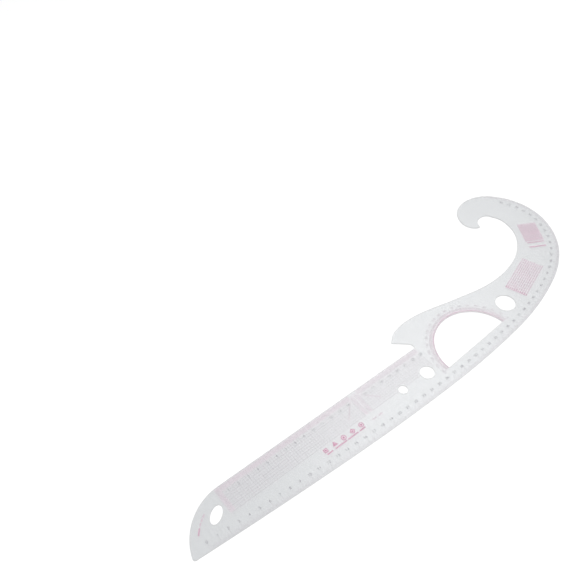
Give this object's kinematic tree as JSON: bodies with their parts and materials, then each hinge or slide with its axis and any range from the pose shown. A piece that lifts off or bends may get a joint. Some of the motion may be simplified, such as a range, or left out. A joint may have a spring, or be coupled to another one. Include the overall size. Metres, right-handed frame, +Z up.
{
  "type": "french curve",
  "caption": "Flat clear plastic drawing curve: long graduated blade, beak, half-disc protractor cut-out, round template holes, oval hanging hole and a hooked end.",
  "frame": {"origin": "centre of the bounding box, on the underside that lies on the drawing", "axes": "+X along the straight upper edge from the nose to the hook, +Y from the graduated lower edge to the straight edge, +Z up out of the printed face"},
  "size_m": [0.5108, 0.1616, 0.0012],
  "materials": {
    "clear_plastic": "clear, smooth, slightly grey",
    "dark_ink": "screen-printed ink film",
    "fine_ink": "thin screen-printed ink film",
    "pink_ink": "screen-printed ink film",
    "magenta_ink": "screen-printed ink film"
  },
  "bodies": {
    "root": {"clear_sheet": "clear_plastic", "edge_scale_ticks": "fine_ink", "edge_scale_numerals": "dark_ink", "grid_lines": "fine_ink", "grid_half_lines": "fine_ink", "grid_border_band": "pink_ink", "grid_numerals": "dark_ink", "cross_band": "pink_ink", "angle_lines": "pink_ink", "title_marks": "magenta_ink", "subtitle_marks": "magenta_ink", "caption_marks": "pink_ink", "nose_bold_mark": "magenta_ink", "nose_light_marks": "pink_ink", "protractor_rim": "magenta_ink", "protractor_band": "pink_ink", "protractor_ticks": "fine_ink", "protractor_numerals": "fine_ink", "table_dashes": "pink_ink", "table_heading_dashes": "magenta_ink", "panel_stripes": "pink_ink", "panel_bars": "magenta_ink"}
  },
  "joints": []
}
